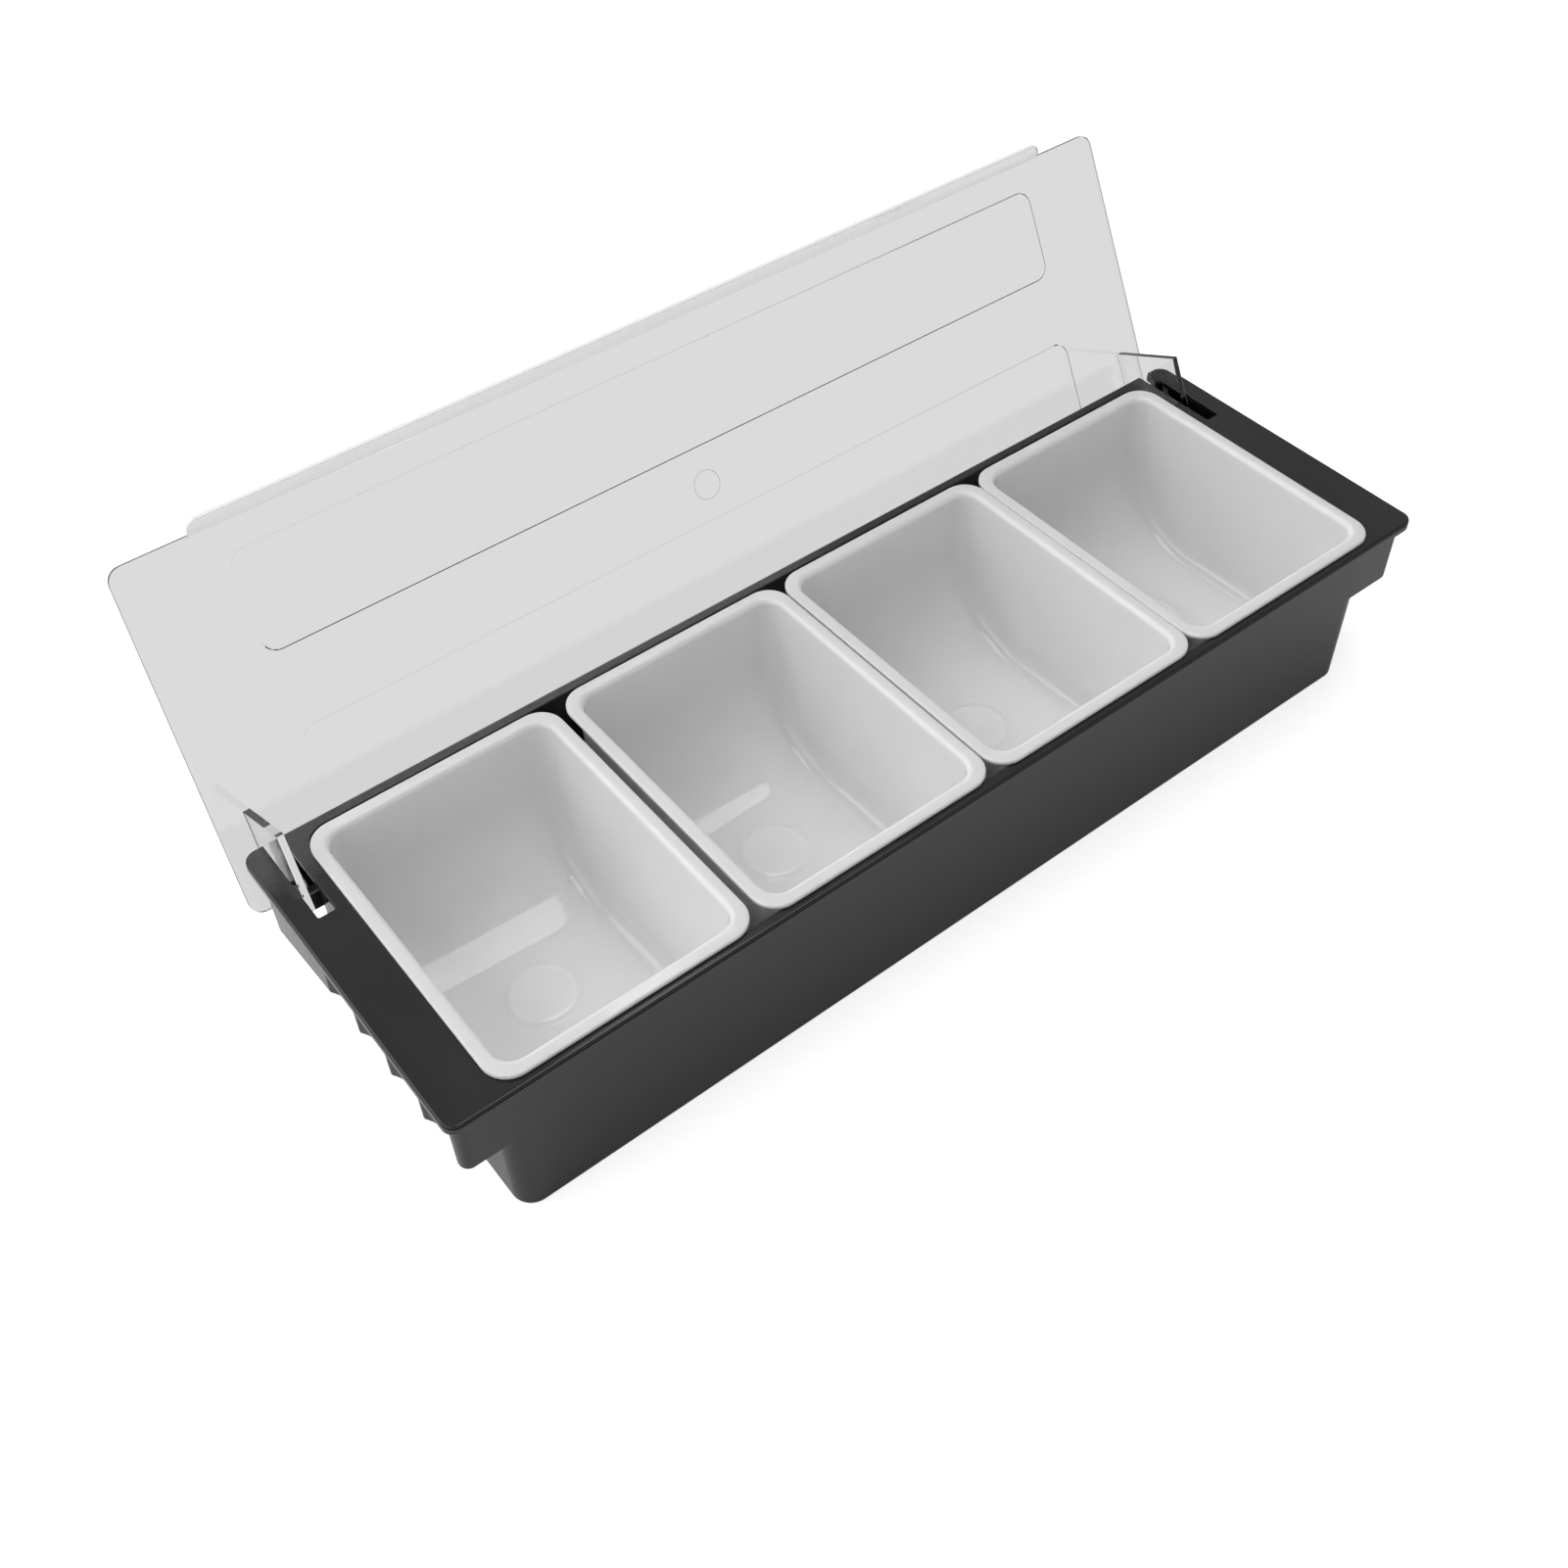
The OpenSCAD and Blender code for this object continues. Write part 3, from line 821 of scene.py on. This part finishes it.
def build_lid(s, t, h, material, highlight_paint):
    """Models the lid closed, with the hinge axis at the origin, and then turns it open."""
    top = h.pivot_drop + s.lid_gap + s.lid_t
    ahead = t.flange_w - h.pivot_back - s.lid_front
    behind = h.pivot_back + s.lid_back
    lid = lid_plate(s, t, top, ahead, behind)
    add(lid, lid_tab(s, top, ahead))
    ear = lid_ear(s, t, h, top)
    for each in (ear, mirrored(ear, "ear_left")):
        add(lid, each)
    front_y = -ahead + s.panel_front_in + s.panel_front_w / 2
    rear_y = behind - s.panel_rear_in - s.panel_rear_w / 2
    for width, y in ((s.panel_front_w, front_y), (s.panel_rear_w, rear_y)):
        cut(lid, sunk_panel(s, top, width, y))
    add(lid, lid_mark(s, top))
    axis = (0, t.flange_w / 2 - h.pivot_back, t.tray_h - h.pivot_drop)
    turn_and_move(lid, -math.degrees(h.swing), axis)
    finish_piece(lid, material, "lid", "lid_clear", "lid")
    return paint_tab_highlight(lid, s, highlight_paint)


def paint_tab_highlight(lid, s, material):
    """Paints the narrow faces round the tab's free edge, where the open tab stands upright, with the
    pale plastic: a painted highlight.
    """
    lid.data.materials.append(material)
    edit(lid)
    below = LID_HIGH.z - 0.8 * s.tab_w
    select_faces(lid, lambda centre, normal: centre.z > below and abs(normal.y) < 0.8)
    lid.active_material_index = 1
    bpy.ops.object.material_slot_assign()
    bpy.ops.mesh.select_mode(type="VERT")
    bpy.ops.object.mode_set(mode="OBJECT")
    return lid


# ---------------------------------------------------------------- materials


class Paint:
    """A new node material with its Principled shader, and short ways to add nodes."""

    def __init__(self, name):
        self.material = bpy.data.materials.new(name)
        self.material.use_nodes = True
        self.tree = self.material.node_tree
        self.shader = next(n for n in self.tree.nodes if n.type == "BSDF_PRINCIPLED")
        self.place = self.node("ShaderNodeTexCoord").outputs["Object"]

    def node(self, kind, **settings):
        new = self.tree.nodes.new(kind)
        for key, value in settings.items():
            setattr(new, key, value)
        return new

    def link(self, output, node, socket):
        self.tree.links.new(output, node.inputs[socket])

    def noise(self, scale, detail=4.0, rough=0.5, stretch=(1, 1, 1)):
        """Noise in the piece's own space; scale is in lumps a metre."""
        mapping = self.node("ShaderNodeMapping")
        mapping.inputs["Scale"].default_value = stretch
        self.link(self.place, mapping, "Vector")
        noise = self.node("ShaderNodeTexNoise")
        noise.inputs["Scale"].default_value = scale
        noise.inputs["Detail"].default_value = detail
        noise.inputs["Roughness"].default_value = rough
        self.link(mapping.outputs["Vector"], noise, "Vector")
        return noise.outputs["Fac"]

    def spread(self, value, low, high, start=0.3, end=0.7):
        """Maps a noise's middle part to a range."""
        node = self.node("ShaderNodeMapRange")
        bounds = {"From Min": start, "From Max": end, "To Min": low, "To Max": high}
        for socket, bound in bounds.items():
            node.inputs[socket].default_value = bound
        self.link(value, node, "Value")
        return node.outputs["Result"]

    def tinted(self, value, base, low, high, span=(0.3, 0.7)):
        """The base colour, a little darker or lighter from place to place."""
        mix = self.node("ShaderNodeMix", data_type="RGBA")
        mix.inputs[6].default_value = [c * low for c in base] + [1]
        mix.inputs[7].default_value = [min(c * high, 1) for c in base] + [1]
        self.link(self.spread(value, 0.0, 1.0, *span), mix, 0)
        self.link(mix.outputs[2], self.shader, "Base Color")

    def bump(self, value, strength, distance, after=None):
        """Raises the surface by a noise, on top of an earlier bump if there is one."""
        node = self.node("ShaderNodeBump")
        node.inputs["Strength"].default_value = strength
        node.inputs["Distance"].default_value = distance
        self.link(value, node, "Height")
        if after is not None:
            self.link(after, node, "Normal")
        self.link(node.outputs["Normal"], self.shader, "Normal")
        return node.outputs["Normal"]


def charcoal_plastic(f):
    """Satin charcoal plastic: a fine moulded grain, faint sink waves, and patches on the level tops that
    are duller, as rubbed wear, and lighter in colour, a painted sheen."""
    paint = Paint("charcoal_plastic")
    height = paint.node("ShaderNodeSeparateXYZ")
    paint.link(paint.place, height, 0)
    tops_height = TRAY_HIGH.z - 2 * HAIR
    top = paint.spread(height.outputs["Z"], 0.0, 1.0, tops_height - 8 * HAIR, tops_height)
    sheen_patches = paint.spread(paint.noise(26, 3, 0.5, (1, 0.45, 1)), 0.0, 1.0, 0.45, 0.75)
    sheen_and_wear = paint.node("ShaderNodeMath", operation="MULTIPLY")
    paint.link(top, sheen_and_wear, 0)
    paint.link(sheen_patches, sheen_and_wear, 1)
    # painted sheen: the patches on the level tops are drawn lighter than the charcoal; the roughness
    # below makes the same patches duller, as rubbed wear
    paint.tinted(sheen_and_wear.outputs[0], f.charcoal, 1.0, f.top_sheen, (0.0, 1.0))
    patches = paint.spread(sheen_and_wear.outputs[0], f.charcoal_rough, f.charcoal_rough + 0.1, 0.0, 1.0)
    paint.link(patches, paint.shader, "Roughness")
    waves = paint.bump(paint.noise(30, 2, 0.4, (1, 0.4, 1)), 0.25, 0.0004)
    paint.bump(paint.noise(3500, 2), 0.12, 0.00002, after=waves)
    paint.shader.inputs["IOR"].default_value = 1.5
    return paint.material


def white_plastic(f):
    """Glossy white food-safe plastic with slight flow ripples."""
    paint = Paint("white_plastic")
    paint.tinted(paint.noise(35, 4), f.white, 0.985, 1.01)
    patches = paint.spread(paint.noise(45, 5), f.white_rough - 0.02, f.white_rough + 0.03)
    paint.link(patches, paint.shader, "Roughness")
    ripples = paint.bump(paint.noise(40, 2, 0.4), 0.12, 0.0003)
    paint.bump(paint.noise(2500, 2), 0.04, 0.00001, after=ripples)
    paint.shader.inputs["IOR"].default_value = 1.49
    paint.shader.inputs["Subsurface Weight"].default_value = 1.0
    paint.shader.inputs["Subsurface Radius"].default_value = (1.0, 1.0, 1.0)
    paint.shader.inputs["Subsurface Scale"].default_value = f.milk_depth
    return paint.material


def clear_plastic(f):
    """Clear polycarbonate with a faint haze and flow lines."""
    paint = Paint("clear_plastic")
    paint.shader.inputs["Base Color"].default_value = (*f.clear, 1)
    haze = paint.noise(18, 5, 0.6, (1, 2.5, 2.5))
    patches = paint.spread(haze, f.clear_rough - 0.02, f.clear_rough + 0.05)
    paint.link(patches, paint.shader, "Roughness")
    paint.bump(paint.noise(14, 2, 0.4), 0.1, 0.0003)
    paint.shader.inputs["Transmission Weight"].default_value = 1.0
    paint.shader.inputs["IOR"].default_value = 1.5
    return paint.material


def edge_highlight_plastic(f):
    """Pale, dull, opaque plastic with a fine grain, for the tab's free edge: a painted highlight in
    place of the clear tab's bright edge.
    """
    paint = Paint("edge_highlight_plastic")
    paint.tinted(paint.noise(900, 3), f.clear, 0.95, 1.0)
    paint.link(paint.spread(paint.noise(600, 2), 0.3, 0.45), paint.shader, "Roughness")
    paint.bump(paint.noise(2500, 2), 0.1, 0.00001)
    paint.shader.inputs["IOR"].default_value = 1.5
    return paint.material


# ---------------------------------------------------------------- the stage


def build_floor(s):
    """White to the camera and pale grey through the lid; its shading keeps the caddy's shadow."""
    deselect()
    bpy.ops.mesh.primitive_plane_add(size=s.floor_l, location=(0, 0, 0))
    floor = bpy.context.object
    floor.name = "floor"
    set_down(floor)
    floor.data.materials.append(floor_paint(s))
    return floor


def floor_paint(s):
    """A plain pale surface that is lifted to white for the camera, a little in reflections, and
    replaced by an even grey where it is seen through the lid."""
    material = bpy.data.materials.new("pale_floor")
    material.use_nodes = True
    nodes, links = material.node_tree.nodes, material.node_tree.links
    output = next(n for n in nodes if n.type == "OUTPUT_MATERIAL")
    nodes.remove(next(n for n in nodes if n.type == "BSDF_PRINCIPLED"))
    path = nodes.new("ShaderNodeLightPath")
    plain = nodes.new("ShaderNodeBsdfDiffuse")
    plain.inputs["Color"].default_value = (0.8, 0.8, 0.8, 1)
    gloss = nodes.new("ShaderNodeMath")
    gloss.operation = "MULTIPLY"
    gloss.inputs[1].default_value = s.floor_gloss
    links.new(path.outputs["Is Glossy Ray"], gloss.inputs[0])
    white = nodes.new("ShaderNodeMath")
    white.operation = "MULTIPLY_ADD"
    white.inputs[1].default_value = s.floor_lift
    links.new(path.outputs["Is Camera Ray"], white.inputs[0])
    links.new(gloss.outputs[0], white.inputs[2])
    lift = nodes.new("ShaderNodeEmission")
    links.new(white.outputs[0], lift.inputs["Strength"])
    shaded = nodes.new("ShaderNodeAddShader")
    links.new(plain.outputs["BSDF"], shaded.inputs[0])
    links.new(lift.outputs["Emission"], shaded.inputs[1])
    through = nodes.new("ShaderNodeEmission")
    through.inputs["Strength"].default_value = s.floor_through
    mix = nodes.new("ShaderNodeMixShader")
    links.new(path.outputs["Is Transmission Ray"], mix.inputs[0])
    links.new(shaded.outputs["Shader"], mix.inputs[1])
    links.new(through.outputs["Emission"], mix.inputs[2])
    links.new(mix.outputs["Shader"], output.inputs["Surface"])
    return material


def build_world(s):
    """A dim room with a pale band along its horizon, white where the camera sees it."""
    world = bpy.data.worlds.new("studio")
    bpy.context.scene.world = world
    world.use_nodes = True
    tree = world.node_tree
    nodes, links = tree.nodes, tree.links
    background = next(n for n in nodes if n.type == "BACKGROUND")
    background.inputs["Color"].default_value = (1, 1, 1, 1)
    place = nodes.new("ShaderNodeTexCoord")
    split = nodes.new("ShaderNodeSeparateXYZ")
    links.new(place.outputs["Generated"], split.inputs[0])
    fall = nodes.new("ShaderNodeMapRange")
    fall.interpolation_type = "SMOOTHSTEP"
    band = (0.15, 0.50)  # the rise, from 0 to 1, over which the horizon's band fades
    fall.inputs["From Min"].default_value, fall.inputs["From Max"].default_value = band
    fall.inputs["To Min"].default_value = s.horizon
    links.new(split.outputs["Z"], fall.inputs["Value"])
    room = nodes.new("ShaderNodeMapRange")
    depth = (-0.2, 0.6)  # from front to rear, over which the room brightens
    room.inputs["From Min"].default_value, room.inputs["From Max"].default_value = depth
    room.inputs["To Min"].default_value = s.room_front
    room.inputs["To Max"].default_value = s.room_rear
    links.new(split.outputs["Y"], room.inputs["Value"])
    links.new(room.outputs["Result"], fall.inputs["To Max"])
    path = nodes.new("ShaderNodeLightPath")
    through = nodes.new("ShaderNodeMix")
    through.inputs[3].default_value = s.room_through
    links.new(path.outputs["Is Transmission Ray"], through.inputs[0])
    links.new(fall.outputs["Result"], through.inputs[2])
    seen = nodes.new("ShaderNodeMix")
    seen.inputs[3].default_value = 1.0
    links.new(path.outputs["Is Camera Ray"], seen.inputs[0])
    links.new(through.outputs[0], seen.inputs[2])
    links.new(seen.outputs[0], background.inputs["Strength"])


def softbox(name, place, size, brightness):
    """A rectangular lamp turned to the caddy; brightness is against a white surface at 1."""
    data = bpy.data.lights.new(name, "AREA")
    data.shape = "RECTANGLE"
    data.size, data.size_y = size
    data.energy = brightness * math.pi * size[0] * size[1]
    lamp = bpy.data.objects.new(name, data)
    lamp.location = place
    lamp.rotation_euler = (-Vector(place)).to_track_quat("-Z", "Y").to_euler()
    bpy.context.scene.collection.objects.link(lamp)
    return lamp


def build_camera(s):
    """The camera, aimed by the directions of its right, its down and its view."""
    data = bpy.data.cameras.new("camera")
    data.sensor_width = 36.0
    data.lens = s.lens
    data.shift_x, data.shift_y = s.shift
    data.clip_start, data.clip_end = 0.02, 50.0
    camera = bpy.data.objects.new("camera", data)
    right = Vector((0.7908143, -0.6115739, -0.0242924))
    down = Vector((-0.4147463, -0.5062675, -0.7560944))
    ahead = Vector((0.4501091, 0.6080054, -0.6540116))
    turn = Matrix((right, -down, -ahead)).transposed()
    camera.matrix_world = Matrix.Translation(s.camera_at) @ turn.to_4x4()
    bpy.context.scene.collection.objects.link(camera)
    bpy.context.scene.camera = camera


# ---------------------------------------------------------------- operators and panel


class CADDY_OT_tray(bpy.types.Operator):
    """Build the charcoal tray with its end boxes, flutes, hollows and hinge slots"""

    bl_idname = "caddy.tray"
    bl_label = "Build Tray"

    def execute(self, context):
        scene = context.scene
        build_tray(scene.caddy_tray, scene.caddy_hinge, charcoal_plastic(scene.caddy_finish))
        return {"FINISHED"}


class CADDY_OT_inserts(bpy.types.Operator):
    """Build the four white lift-out inserts"""

    bl_idname = "caddy.inserts"
    bl_label = "Build Inserts"

    def execute(self, context):
        scene = context.scene
        build_inserts(scene.caddy_insert, white_plastic(scene.caddy_finish))
        return {"FINISHED"}


class CADDY_OT_lid(bpy.types.Operator):
    """Build the clear lid with its panels, tab, ears and studs"""

    bl_idname = "caddy.lid"
    bl_label = "Build Lid"

    def execute(self, context):
        scene = context.scene
        finish = scene.caddy_finish
        # the second plastic is the pale one of the painted highlight on the tab's free edge
        plastics = clear_plastic(finish), edge_highlight_plastic(finish)
        build_lid(scene.caddy_lid, scene.caddy_tray, scene.caddy_hinge, *plastics)
        return {"FINISHED"}


class CADDY_OT_stage(bpy.types.Operator):
    """Set the pale floor, the soft lamps and the camera"""

    bl_idname = "caddy.stage"
    bl_label = "Set Stage"

    def execute(self, context):
        scene = context.scene
        scene.view_settings.view_transform = "Standard"
        build_floor(scene.caddy_stage)
        build_world(scene.caddy_stage)
        for name, place, size, brightness in LAMPS:
            softbox(name, place, size, brightness)
        build_camera(scene.caddy_stage)
        return {"FINISHED"}


class CADDY_PT_panel(bpy.types.Panel):
    """Lists the caddy's pieces in the order they are built"""

    bl_idname = "CADDY_PT_panel"
    bl_label = "Condiment Caddy"
    bl_space_type = "VIEW_3D"
    bl_region_type = "UI"
    bl_category = "Caddy"

    def draw(self, context):
        for operator in OPERATORS:
            self.layout.operator(operator.bl_idname)
        for name, _ in GROUPS:
            settings = getattr(context.scene, name)
            box = self.layout.box()
            for prop in settings.bl_rna.properties:
                if prop.identifier not in {"rna_type", "name"}:
                    box.prop(settings, prop.identifier)


GROUPS = (
    ("caddy_tray", TraySizes),
    ("caddy_hinge", HingeSizes),
    ("caddy_lid", LidSizes),
    ("caddy_insert", InsertSizes),
    ("caddy_finish", Finishes),
    ("caddy_stage", StageSizes),
)
OPERATORS = (CADDY_OT_tray, CADDY_OT_inserts, CADDY_OT_lid, CADDY_OT_stage)


def register():
    for name, group in GROUPS:
        bpy.utils.register_class(group)
        setattr(bpy.types.Scene, name, bpy.props.PointerProperty(type=group))
    for cls in (*OPERATORS, CADDY_PT_panel):
        bpy.utils.register_class(cls)


def unregister():
    for cls in (CADDY_PT_panel, *reversed(OPERATORS)):
        bpy.utils.unregister_class(cls)
    for name, group in reversed(GROUPS):
        delattr(bpy.types.Scene, name)
        bpy.utils.unregister_class(group)


def main():
    register()
    bpy.ops.caddy.tray()
    bpy.ops.caddy.inserts()
    bpy.ops.caddy.lid()
    bpy.ops.caddy.stage()


if __name__ == "__main__":
    main()
